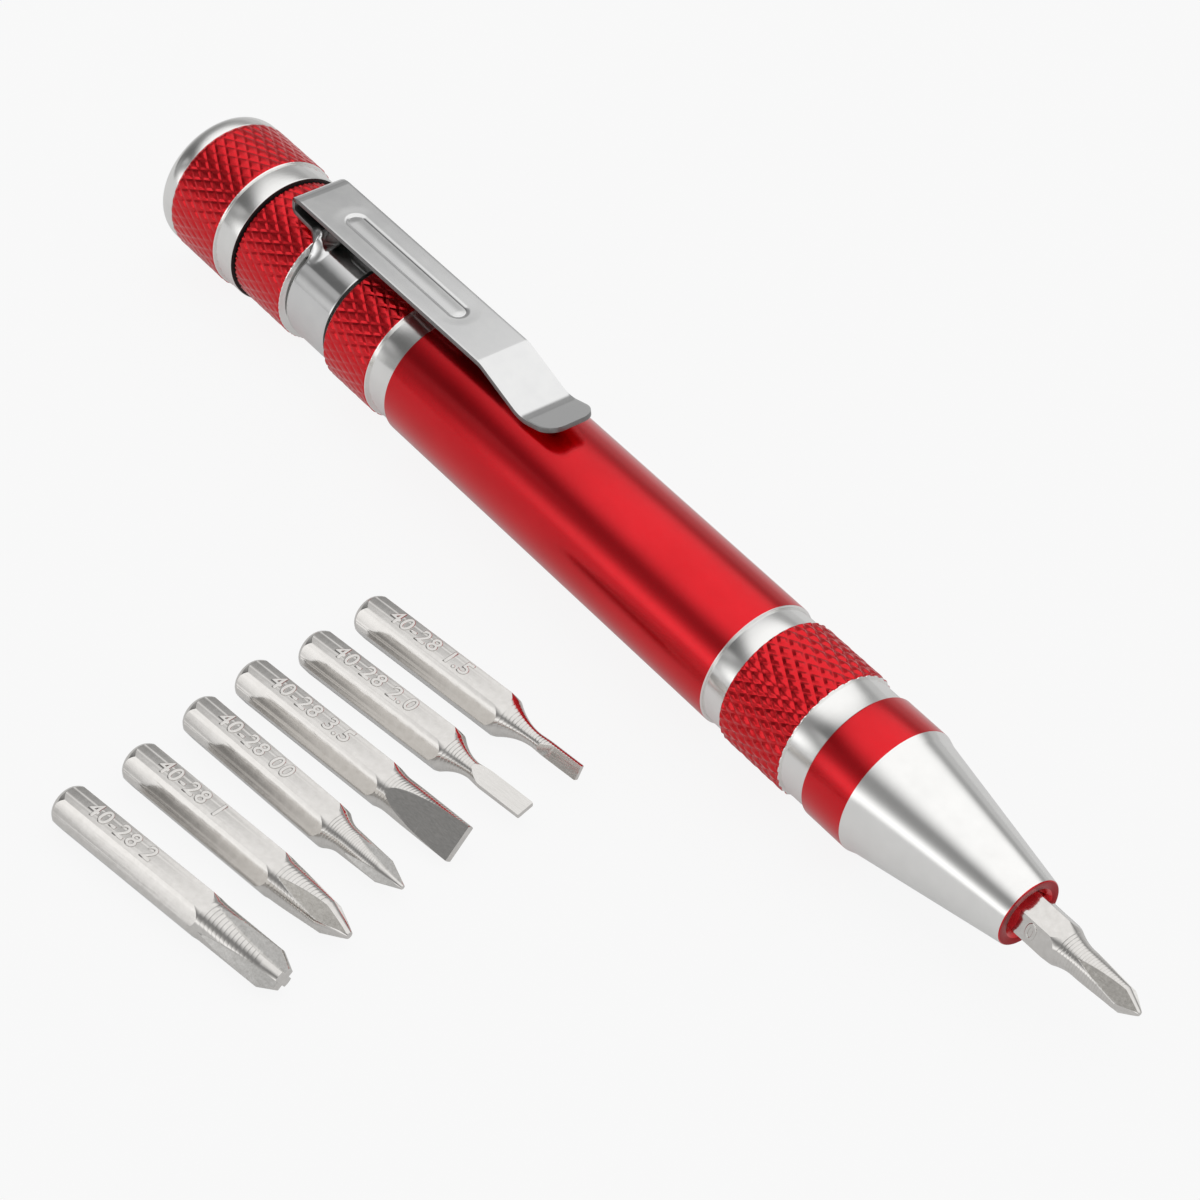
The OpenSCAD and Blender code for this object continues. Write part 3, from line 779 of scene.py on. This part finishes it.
def clip():
    x_collar = X_BARREL + KNURL_A + SHOULDER + 0.05
    x_fold = x_collar - TAB_LEN
    x_ramp = x_collar - RAMP_BACK
    x_bend = x_fold + ARM_LEN
    x_valley = x_bend + SLOPE_LEN
    tab_z = KNURL_R + CLIP_GAP + CLIP_T / 2
    tab_run = x_ramp - x_fold + FOLD_R * math.sin(TAB_SLOPE)
    fold_z = tab_z + FOLD_R * math.cos(TAB_SLOPE) + tab_run * math.tan(TAB_SLOPE)
    arm_z = fold_z + FOLD_R
    valley_z = BARREL_R + CLIP_GAP + CLIP_T / 2
    middle = Vector((x_fold, fold_z))
    bend = Vector((x_bend, arm_z))
    valley = Vector((x_valley, valley_z))
    lip = Vector((x_valley + LIP_LEN, valley_z + LIP_RISE))
    lip_way = (lip - valley).normalized()

    def tab_height(x):
        return tab_z + (x_ramp - x) * math.tan(TAB_SLOPE)

    # The sheet's middle line from the tab to the lip, and half its width at each point
    fold = []
    for i in range(FOLD_STEPS + 1):
        a = 1.5 * math.pi - TAB_SLOPE - (math.pi - TAB_SLOPE) * i / FOLD_STEPS
        p = middle + FOLD_R * Vector((math.cos(a), math.sin(a)))
        if a < math.pi:
            p.x = x_fold - FOLD_R + FOLD_LONG * (1 + math.cos(a))
        fold.append(p)
    x_tab = x_collar - FLARE_RUN
    path = even_steps([Vector((x_tab, tab_height(x_tab)))] + fold, FOLD_STEP)
    path += even_steps([
        fold[-1],
        *arc_corner(fold[-1], bend, valley, BEND_R),
        *arc_corner(bend, valley, lip, VALLEY_R),
        lip - lip_way * LIP_CORNER,
    ], ARM_STEP)[1:]
    x_corner = x_fold - FOLD_R + CORNER_RUN
    halves = [CLIP_W / 2 - CORNER_CUT * max(0.0, (x_corner - p.x) / CORNER_RUN) ** 2 for p in path]
    for i in range(1, LIP_STEPS + 1):
        a = math.pi / 2 * i / LIP_STEPS
        path.append(lip - lip_way * LIP_CORNER * (1 - math.sin(a)))
        halves.append(CLIP_W / 2 - LIP_CORNER * (1 - math.cos(a)))

    bm = bmesh.new()
    inner_shares = [EDGE_SHARE * (2 * i / (ARM_COLS - 2) - 1) for i in range(ARM_COLS - 1)]
    shares = [-1.0] + inner_shares + [1.0]
    wide = CLIP_W / 2 + TAB_FILLET
    edge_turn = math.asin(wide / COLLAR_R)
    open_turn = math.pi - COLLAR_SLOT / 2 / COLLAR_R
    sides = [edge_turn + (open_turn - edge_turn) * (i + 1) / SIDE_COLS for i in range(SIDE_COLS)]
    last = None

    def add_row(points):
        nonlocal last
        row = [bm.verts.new(p) for p in points]
        if last:
            for a, b, c, d in zip(last, last[1:], row[1:], row):
                bm.faces.new((a, b, c, d))
        last = row

    def risen(x, y, share, free):
        """A point of the collar or of the tab's root; free counts from the collar's edge to the tab."""
        low = math.sqrt(COLLAR_R ** 2 - (share * wide) ** 2)
        rise = smoothstep((x_collar + RISE_START - x) / (RISE_START - RISE_END))
        hold = smoothstep((abs(share) * wide - CLIP_W / 2 + HOLD_RUN) / (TAB_FILLET + HOLD_RUN))
        rise *= 1 - (1 - free) ** 2 * hold
        return x, y, low + (tab_height(x) - low) * rise

    # The collar, the flare of the tab's root, then the tab, the fold and the arm
    for i in range(COLLAR_ROWS + 1):
        x = x_collar + COLLAR_W * (1 - i / COLLAR_ROWS)
        left = [round_point(x, COLLAR_R, a) for a in reversed(sides)]
        top = [risen(x, share * wide, share, 0.0) for share in shares]
        right = [round_point(x, COLLAR_R, -a) for a in sides]
        add_row(left + top + right)
    last = last[SIDE_COLS:-SIDE_COLS]
    for i in range(1, FLARE_ROWS + 1):
        t = i / FLARE_ROWS
        half = CLIP_W / 2 + TAB_FILLET * (1 - math.sqrt(1 - (1 - t) ** 2))
        add_row([risen(x_collar - FLARE_RUN * t, share * half, share, t) for share in shares])
    x_first = x_fold + PANEL_START + PANEL_W / 2
    x_last = x_first + PANEL_LEN - PANEL_W
    for p, half in zip(path[1:], halves[1:]):
        on_arm = p.y > arm_z - 1e-3 and p.x > x_fold + 1
        points = []
        for share in shares:
            y = share * half
            depth = panel_depth(p.x, y, x_first, x_last) if on_arm else 0.0
            points.append((p.x, y, p.y - depth))
        add_row(points)

    obj = new_object("clip_sheet", bm, (CHROME, DARK_STEEL_AND_SHADE))
    obj.location = PEN
    thick = obj.modifiers.new("thick", "SOLIDIFY")
    thick.thickness = CLIP_T * MM
    thick.offset = 0
    thick.material_offset_rim = 1
    round_edge = obj.modifiers.new("round_edge", "BEVEL")
    round_edge.width = SHEAR_ROUND * MM
    round_edge.segments = SHEAR_STEPS
    round_edge.angle_limit = SHEAR_ANGLE
    round_edge.material = 0
    apply_modifiers(obj)
    # Painted shade: faces under the arm, inside the fold and on the tab take the dark steel
    inside_fold = FOLD_R - CLIP_T / 2 + 0.05
    for face in obj.data.polygons:
        at = face.center / MM
        at_rear = at.x < x_ramp
        under_arm = at.z > fold_z and face.normal.z < -LEAN
        in_fold = at_rear and abs(at.z - fold_z) < inside_fold and face.normal.x > LEAN
        on_tab = at_rear and at.z < fold_z and face.normal.z > LEAN
        if under_arm or in_fold or on_tab:
            face.material_index = 1
    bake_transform(obj)
    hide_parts("clip_collar", "clip_arm")


clip()


# Bits: hex shanks turned down to a neck with tool rings, and ground tips

BIT_LEN, BIT_BEVEL, BIT_SIDES = 27.5, 1.2, 80
HEX_CORNER = HEX_FLAT / math.cos(math.pi / 6)
# Rounded rear end of a shank: places along it, and radii counted from this one
SHANK_REAR_R = 1.75
SHANK_REAR = ((0, -0.35), (0.02, -0.2), (0.09, -0.06), (0.2, 0.06), (0.36, 0.18), (0.56, 0.3))
# Radius of the loops that stand in for a point on the axis
POINT_R = 0.01
# Run over which a shank's corners are turned down to its flats, and the slight crown of the flats
FLAT_RUN, FLAT_CROWN = 0.9, 0.018
# Steps from the middle of a flat to its edge, and a span that leaves its corner points apart
FLAT_STEPS, FLAT_SPAN = 4, 4.0001
# Tool rings: loops across one ring, as shares of its pitch and depths
TOOL_RING = ((0.0, 0.022), (0.1, 0.004), (0.2, 0.0), (0.8, 0.0), (0.9, 0.004))
# Grinding wheel: width of its V as a share of its radius, and steps of some degrees round its rim
WHEEL_V, WHEEL_STEPS, WHEEL_STEP = 0.8, 48, 0.75
# A distance from the axis that is clear of any bit
CLEAR = 4
# Edges shorter than this are slivers left by the cuts
SLIVER = 0.003
# Softened edges of the bits
SOFT_WIDTH, SOFT_STEPS, SOFT_ANGLE = 0.04, 2, math.radians(28)
# Raised numerals: height and spacing, half their depth, rounding and thinning, and depth in the flat
MARK_SIZE, MARK_SPACE = 2.35, 1.12
MARK_RAISE, MARK_ROUND, MARK_THIN, MARK_SINK = 0.05, 0.085, -0.01, 0.05
# Where the numerals start on a loose bit and on the fitted one
LOOSE_MARK, FITTED_MARK = 3.2, 15.2

# Each cross bit: body, lengths from the end of the turned part, neck, tip taper and flutes,
# radii of the neck, tip, end and core, turn of the wings, pitch of the tool rings, marking
CROSS_BITS = {
    "cross_bit_0": (
        "fitted_bit", (9, 6.8, 1.9, 6.9), (1.47, 1.45, 0.25, 0.32), -20, 0.3, "0",
    ),
    "cross_bit_00": (
        "loose_cross_00", (8.85, 7.0, 2.5, 6.3), (1.38, 1.2, 0.22, 0.25), 36, 0.25, "40-28 00",
    ),
    "cross_bit_1": (
        "loose_cross_1", (8.6, 7.7, 2.8, 8), (1.93, 1.68, 0.36, 0.45), -11, 0.39, "40-28 1",
    ),
    "cross_bit_2": (
        "loose_cross_2", (9.1, 8.3, 1.7, 8.5), (1.96, 1.93, 1.1, 0.65), 35, 0.48, "40-28 2",
    ),
}
# Each slotted bit: body, lengths from the end of the turned part, neck, full blade and flats,
# radii of the neck and blade, steep start of the flats, thicknesses and turn of the blade,
# pitch of the tool rings, marking
SLOTTED_BITS = {
    "slotted_bit_15": (
        "loose_slotted_15", (9.1, 5.3, 4.2, 4.7), (0.74, 0.8), 1.4, (0.6, 0.45), 65, 0.32, "40-28 1.5",
    ),
    "slotted_bit_20": (
        "loose_slotted_20", (9.4, 6.4, 5, 6.5), (0.84, 1), 1.3, (0.62, 0.5), 10, 0.28, "40-28 2.0",
    ),
    "slotted_bit_35": (
        "loose_slotted_35", (8.9, 7.8, 6, 8.1), (1.87, 1.9), 4, (2.2, 0.8), 45, 0.32, "40-28 3.5",
    ),
}
# Where the loose bits lie: rear end along the pen, distance from its axis, turn on the table
LYING = {
    "cross_bit_2": (61.05, 58.9, 8.1),
    "cross_bit_1": (60.05, 50.8, 7.1),
    "cross_bit_00": (58.05, 42.9, 5.6),
    "slotted_bit_35": (56.75, 36.3, 7.0),
    "slotted_bit_20": (56.75, 29.2, 7.8),
    "slotted_bit_15": (55.75, 22.1, 7.5),
}


def temporary(name, bm, material):
    """An object for a boolean step, in millimetres."""
    mesh = mesh_from(name, bm)
    mesh.materials.append(material)
    return add_object(name, mesh)


def combine(obj, other, operation):
    """Cuts or trims an object with another one, which is then removed."""
    step = obj.modifiers.new("step", "BOOLEAN")
    step.operation = operation
    step.solver = "EXACT"
    step.material_mode = "TRANSFER"
    step.object = other
    apply_modifiers(obj)
    bpy.data.objects.remove(other)


def turned_about(bm, degrees):
    """Turns a bmesh about the bit's axis."""
    bmesh.ops.transform(bm, matrix=Matrix.Rotation(math.radians(degrees), 4, "X"), verts=bm.verts)


def bit_blank(turned_len, neck_len, neck_r, tip, pitch):
    """Turned blank with tool rings inside a hex bar, before its tip is ground."""
    x_turn, x_neck = BIT_LEN - turned_len, BIT_LEN - neck_len
    corners = [(x_neck, neck_r)] + tip

    def turned_r(x):
        """Radius without rings: a curve into the neck, then straight runs to the end."""
        if x < x_neck:
            return neck_r + (HEX_FLAT - neck_r) * ((x_neck - x) / (x_neck - x_turn)) ** 2
        for (x0, r0), (x1, r1) in zip(corners, corners[1:]):
            if x <= x1:
                return r0 + (r1 - r0) * (x - x0) / (x1 - x0)

    outline = [(0, POINT_R)] + [(x, SHANK_REAR_R + more) for x, more in SHANK_REAR] + [
        (BIT_BEVEL, HEX_CORNER + 0.02),
        (x_turn - FLAT_RUN, HEX_CORNER + 0.02),
        (x_turn, HEX_FLAT - 0.01),
    ]
    x_end = tip[-2][0]
    ring = 0
    while x_turn + (ring + 1) * pitch < x_end:
        for share, depth in TOOL_RING:
            x = x_turn + (ring + share) * pitch
            if x > x_turn + 0.02:
                outline.append((x, turned_r(x) - depth))
        ring += 1
    outline += [(x, r) for x, r in tip if x >= x_end] + [(BIT_LEN, POINT_R)]
    bm = bmesh.new()
    turns = [2 * math.pi * (i + 0.5) / BIT_SIDES for i in range(BIT_SIDES)]
    loops = [[bm.verts.new(round_point(x, r, a)) for a in turns] for x, r in outline]
    for a, b in zip(loops, loops[1:]):
        bridge(bm, a, b)
    bm.faces.new(loops[0])
    bm.faces.new(loops[-1])
    obj = temporary("blank", bm, NICKEL)
    combine(obj, hex_bar(), "INTERSECT")
    return obj


def hex_bar():
    """Hex bar with slightly crowned flats."""
    half = HEX_FLAT * math.tan(math.pi / 6)
    section = []
    for flat in range(6):
        a = math.radians(60 * flat)
        for step in range(-FLAT_STEPS, FLAT_STEPS + 1):
            y = half * step / FLAT_SPAN
            z = HEX_FLAT - FLAT_CROWN * (y / half) ** 2
            section.append((y * math.cos(a) - z * math.sin(a), y * math.sin(a) + z * math.cos(a)))
    section.sort(key=lambda p: math.atan2(-p[0], p[1]) % (2 * math.pi))
    bm = bmesh.new()
    rear, front = [[bm.verts.new((x, y, z)) for y, z in section] for x in (-1.0, BIT_LEN + 1.0)]
    bridge(bm, rear, front)
    bm.faces.new(rear)
    bm.faces.new(front)
    return temporary("hex_bar", bm, NICKEL)


def wheel(radius, core, turn):
    """Grinding wheel with a V rim, sunk to the core at the bit's end and turned about its axis."""
    bm = bmesh.new()
    wide = WHEEL_V * radius
    sides = []
    for y in (-wide, 0, wide):
        loop = []
        for i in range(-WHEEL_STEPS, WHEEL_STEPS + 1):
            a = math.radians(WHEEL_STEP * i) - math.pi / 2
            r = radius - abs(y)
            loop.append(bm.verts.new((BIT_LEN + r * math.cos(a), y, core + radius + r * math.sin(a))))
        sides.append(loop)
    for a, b in zip(sides, sides[1:]):
        for i in range(len(a) - 1):
            bm.faces.new((a[i], a[i + 1], b[i + 1], b[i]))
    for i in (0, -1):
        bm.faces.new([loop[i] for loop in sides])
    bm.faces.new(sides[0])
    bm.faces.new(sides[-1])
    bm.faces.new((sides[0][0], sides[0][-1], sides[-1][-1], sides[-1][0]))
    turned_about(bm, turn)
    return temporary("wheel", bm, FLUTE)


def cross_bit(runs, radii, turn, pitch):
    """Cross tip: a wheel sinks four V flutes from the neck's surface to the core at the end."""
    turned_len, neck_len, taper_len, flute_len = runs
    neck_r, tip_r, end_r, core = radii
    obj = bit_blank(turned_len, neck_len, neck_r, [(BIT_LEN - taper_len, tip_r), (BIT_LEN, end_r)], pitch)
    sink = neck_r - core
    radius = (flute_len ** 2 + sink ** 2) / (2 * sink)
    for quarter in range(4):
        combine(obj, wheel(radius, core, turn + 45 + 90 * quarter), "DIFFERENCE")
    return obj


def slotted_bit(runs, radii, ease, blade, turn, pitch):
    """Slotted tip: two flats fall from the neck's surface, steeply at first, to the blade's thickness."""
    turned_len, neck_len, blade_len, flat_len = runs
    neck_r, blade_r = radii
    x_flat, x_past = BIT_LEN - flat_len, BIT_LEN + 0.2
    tip = [(BIT_LEN - blade_len, blade_r), (BIT_LEN - 0.1, blade_r), (BIT_LEN, blade_r - 0.06)]
    obj = bit_blank(turned_len, neck_len, neck_r, tip, pitch)
    ground = (
        (x_flat, neck_r),
        (x_flat + ease, blade[0] / 2),
        (x_past, blade[1] / 2),
        (x_past, CLEAR),
        (x_flat, CLEAR),
    )
    for side in (0, 180):
        bm = bmesh.new()
        near, far = [[bm.verts.new((x, y, z)) for x, z in ground] for y in (-CLEAR, CLEAR)]
        bm.faces.new(near)
        bm.faces.new(far)
        bridge(bm, near, far)
        turned_about(bm, turn + side)
        combine(obj, temporary("flat", bm, GROUND), "DIFFERENCE")
    return obj


def marking(text, x, turn):
    """Raised numerals on a flat of a shank, read from the rear to the tip."""
    curve = bpy.data.curves.new("marking", "FONT")
    curve.body = text
    curve.size = MARK_SIZE
    curve.space_character = MARK_SPACE
    curve.extrude = MARK_RAISE
    curve.bevel_depth = MARK_ROUND
    curve.offset = MARK_THIN
    curve.resolution_u = 4
    curve.align_y = "CENTER"
    obj = add_object("marking", curve)
    mesh = evaluated_mesh(obj)
    bpy.data.objects.remove(obj)
    mesh.transform(Matrix.Rotation(turn, 4, "X") @ Matrix.Translation((x, 0, HEX_FLAT - MARK_SINK)))
    return mesh


def finish_bit(name, obj, body, text):
    """Softens a bit's edges, adds its marking and lays it in its place."""
    obj.name = name + "_ground"
    bm = bmesh.new()
    bm.from_mesh(obj.data)
    bmesh.ops.remove_doubles(bm, verts=bm.verts, dist=SLIVER)
    bmesh.ops.dissolve_degenerate(bm, edges=bm.edges, dist=SLIVER)
    bm.to_mesh(obj.data)
    bm.free()
    soft = obj.modifiers.new("soft", "BEVEL")
    soft.width = SOFT_WIDTH
    soft.segments = SOFT_STEPS
    soft.angle_limit = SOFT_ANGLE
    apply_modifiers(obj, BIT_SHARP)
    bm = bmesh.new()
    bm.from_mesh(obj.data)
    loose = name in LYING
    bm.from_mesh(marking(text, LOOSE_MARK, 0.0) if loose else marking(text, FITTED_MARK, math.pi / 3))
    bm.to_mesh(obj.data)
    bm.free()
    obj.data.transform(Matrix.Scale(MM, 4))
    if loose:
        x, off, turn = LYING[name]
        obj.location = (PEN.x + x * MM, PEN.y - off * MM, HEX_FLAT * MM)
        obj.rotation_euler = (0, 0, math.radians(turn))
    else:
        obj.location = PEN + Vector((X_SOCKET * MM, 0, 0))
        obj.rotation_euler = (FITTED_TURN, 0, 0)
    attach(obj, body)
    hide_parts(name)


for name, (body, *shape, text) in CROSS_BITS.items():
    finish_bit(name, cross_bit(*shape), body, text)
for name, (body, *shape, text) in SLOTTED_BITS.items():
    finish_bit(name, slotted_bit(*shape), body, text)


# Studio

WHITE = (1, 1, 1, 1)
# Brightness of the soft box that the pieces mirror
BOX_LEVEL = 1.06
# Height and spread of the bright strip, as parts of a full view upward
STRIP_HEIGHT, STRIP_SPREAD = 0.14, 0.2
# Least height and depth that a direction is divided by
LEAST = 0.05
# Size of the table in mm, and the share of plain white in it as seen directly and in mirrors
TABLE_SIZE, TABLE_SEEN, TABLE_MIRRORED = 3000, 0.9, 0.37
# The fitted camera: width of its sensor, lens, directions and place from the cap, over the table
SENSOR, LENS = 36, 118.74
CAMERA_RIGHT = Vector((0.6265, 0.7717, 0.1100))
CAMERA_BACK = Vector((0.5199, -0.5188, 0.6787))
CAMERA_PLACE = Vector((260.2, -196.02, 255.11))


def studio_world():
    """Pale room: a broad soft box overhead, a low bright strip on the bits' side and dim walls."""
    world = bpy.data.worlds.new("studio")
    bpy.context.scene.world = world
    n = Nodes(world)
    direction = n.add("ShaderNodeTexCoord").outputs["Generated"]
    x, y, z = n.add("ShaderNodeSeparateXYZ", {0: direction}).outputs
    height = n.math("MAXIMUM", z, LEAST)
    over_x, over_y = n.math("DIVIDE", x, height), n.math("DIVIDE", y, height)
    side = n.math("DIVIDE", x, n.math("MAXIMUM", n.math("ABSOLUTE", y), LEAST))
    # Soft box, with one slanting edge
    slant = n.math("ADD", over_x, n.math("MULTIPLY", over_y, 0.12))
    box = n.product(
        n.smooth(over_y, -1.2, -0.3),
        n.smooth(over_y, 2.1, 0.9),
        n.smooth(over_x, 2.2, 1.2),
        n.smooth(slant, -1.04, -0.64),
        n.smooth(z, 0.1, 0.3),
    )
    # Walls, brighter beyond the pen
    far_wall = n.product(n.smooth(z, 0.22, 0.34, 0.52, 0.36), n.smooth(x, -0.9, -0.7, 0.75, 1.0))
    near_wall = n.smooth(x, -0.62, -0.48, 0.13, 0.26)
    wall = n.product(n.math("SUBTRACT", far_wall, near_wall), n.smooth(y, -0.5, 0.1))
    wall = n.math("ADD", near_wall, wall)
    # Bright strip, low on the side of the loose bits
    band = n.math("DIVIDE", n.math("SUBTRACT", z, STRIP_HEIGHT), STRIP_SPREAD)
    band = n.math("EXPONENT", n.product(band, band, -1.0))
    strip = n.product(band, n.smooth(y, -0.3, -0.6), n.smooth(side, -0.9, -0.6, 0.2, 1.0))
    # Small bright patch over the strip
    patch = n.product(
        n.smooth(z, 0.53, 0.49),
        n.smooth(z, 0.25, 0.42, 0.0, 0.33),
        n.smooth(side, -0.78, -0.86),
        n.smooth(side, -1.15, -1.0),
        n.smooth(y, -0.3, -0.5),
    )
    level = n.math("ADD", wall, n.product(box, n.math("SUBTRACT", BOX_LEVEL, wall)))
    level = n.math("ADD", level, n.math("ADD", strip, patch))
    n.finish(n.add("ShaderNodeBackground", {"Color": WHITE, "Strength": level}), "ShaderNodeOutputWorld")


def softbox(name, place, target, width, height, radiance):
    """Area light of a given size and brightness, turned toward a point."""
    light = bpy.data.lights.new(name, "AREA")
    light.shape = "RECTANGLE"
    light.size, light.size_y = width, height
    light.energy = radiance * math.pi * width * height
    obj = add_object(name, light)
    obj.location = place
    obj.rotation_euler = (Vector(target) - Vector(place)).to_track_quat("-Z", "Y").to_euler()
    obj.visible_camera = obj.visible_glossy = False


def floor():
    """White table top that keeps a soft shadow."""
    n = new_material("table_white")
    grain = n.noise(0.05, 0.05, 0.05)
    tint = n.mix(grain, (0.49, 0.49, 0.49, 1), (0.51, 0.51, 0.51, 1))
    diffuse = n.add("ShaderNodeBsdfDiffuse", {"Color": tint})
    glow = n.add("ShaderNodeEmission", {"Color": WHITE, "Strength": 1.0})
    path = n.add("ShaderNodeLightPath").outputs
    mirrored = n.math("MAXIMUM", path["Is Glossy Ray"], path["Is Transmission Ray"])
    seen = n.math("MULTIPLY", path["Is Camera Ray"], TABLE_SEEN)
    share = n.math("MAXIMUM", seen, n.math("MULTIPLY", mirrored, TABLE_MIRRORED))
    shaders = {0: share, 1: diffuse.outputs[0], 2: glow.outputs[0]}
    material = n.finish(n.add("ShaderNodeMixShader", shaders))
    bm = bmesh.new()
    bmesh.ops.create_grid(bm, x_segments=1, y_segments=1, size=TABLE_SIZE)
    obj = new_object("table", bm, (material,))


def camera():
    """The photograph's viewpoint, found from the hex bits' known size."""
    data = bpy.data.cameras.new("camera")
    data.sensor_width = SENSOR
    data.lens = LENS
    data.clip_start, data.clip_end = 0.01, 10
    obj = add_object("camera", data)
    right = CAMERA_RIGHT.normalized()
    back = (CAMERA_BACK - right * CAMERA_BACK.dot(right)).normalized()
    up = back.cross(right)
    turn = Matrix((right, up, back)).transposed().to_4x4()
    place = Vector((PEN.x, PEN.y, 0)) + CAMERA_PLACE * MM
    obj.matrix_world = Matrix.Translation(place) @ turn
    bpy.context.scene.camera = obj


studio_world()
softbox("overhead", (-0.05, 0.10, 0.60), (0, 0, 0), 0.6, 0.6, 0.25)
floor()
camera()
bpy.context.scene.view_settings.view_transform = "Standard"
